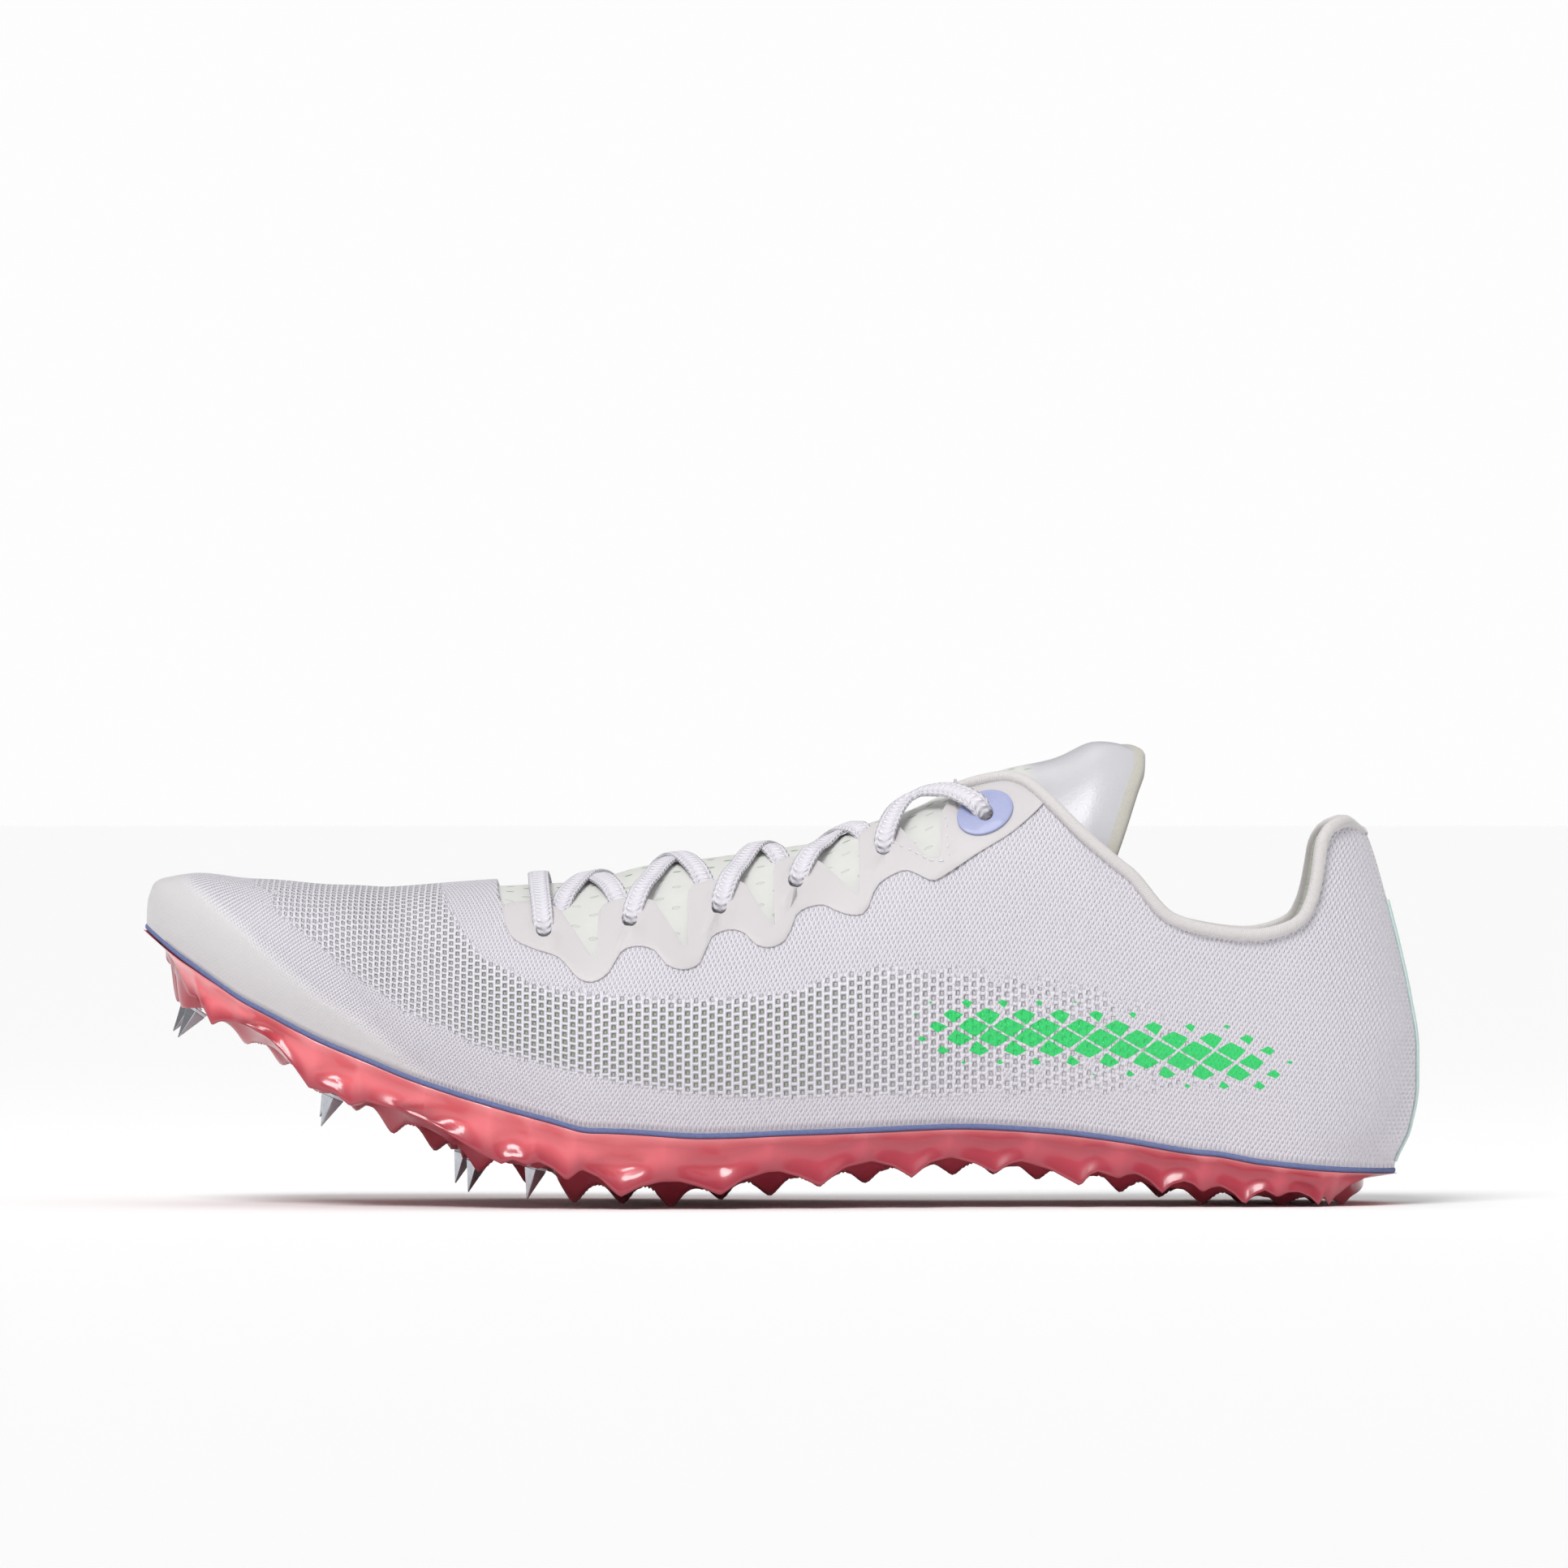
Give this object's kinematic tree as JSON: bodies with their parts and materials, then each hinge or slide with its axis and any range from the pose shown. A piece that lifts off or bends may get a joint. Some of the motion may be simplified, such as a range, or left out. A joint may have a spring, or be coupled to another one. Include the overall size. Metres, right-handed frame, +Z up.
{
  "type": "track spike shoe",
  "caption": "Left sprint spike shoe with a scalloped sole plate, steel pins, a thin woven upper, free lacing tabs and flat laces, standing empty.",
  "frame": {"origin": "middle of the shoe's bounding footprint, on the floor that it stands on", "axes": "+Z up, toe toward -X, outer side of the foot toward -Y"},
  "size_m": [0.2848, 0.0926, 0.104],
  "materials": {
    "coral_plate": "gloss",
    "slate_board": "matte",
    "lining": "matte",
    "woven_upper": "matte",
    "film": "satin",
    "lilac_washer": "satin",
    "binding": "matte",
    "mint_tape": "matte",
    "lace": "matte",
    "steel": "polished"
  },
  "bodies": {
    "root": {"spike_plate": "coral_plate", "midsole_board": "slate_board", "insole": "lining", "upper": "woven_upper", "tongue": "lining", "eyestay_lateral": "film", "eyestay_medial": "film", "washer_lateral": "lilac_washer", "washer_medial": "lilac_washer", "collar_binding": "binding", "heel_tape": "mint_tape", "lace_run_1": "lace", "lace_run_2": "lace", "lace_run_3": "lace", "lace_run_4": "lace", "lace_run_5": "lace", "lace_run_6": "lace", "lace_run_7": "lace", "spike_1": "steel", "spike_2": "steel", "spike_3": "steel", "spike_4": "steel", "spike_5": "steel", "spike_6": "steel", "spike_7": "steel"}
  },
  "joints": []
}
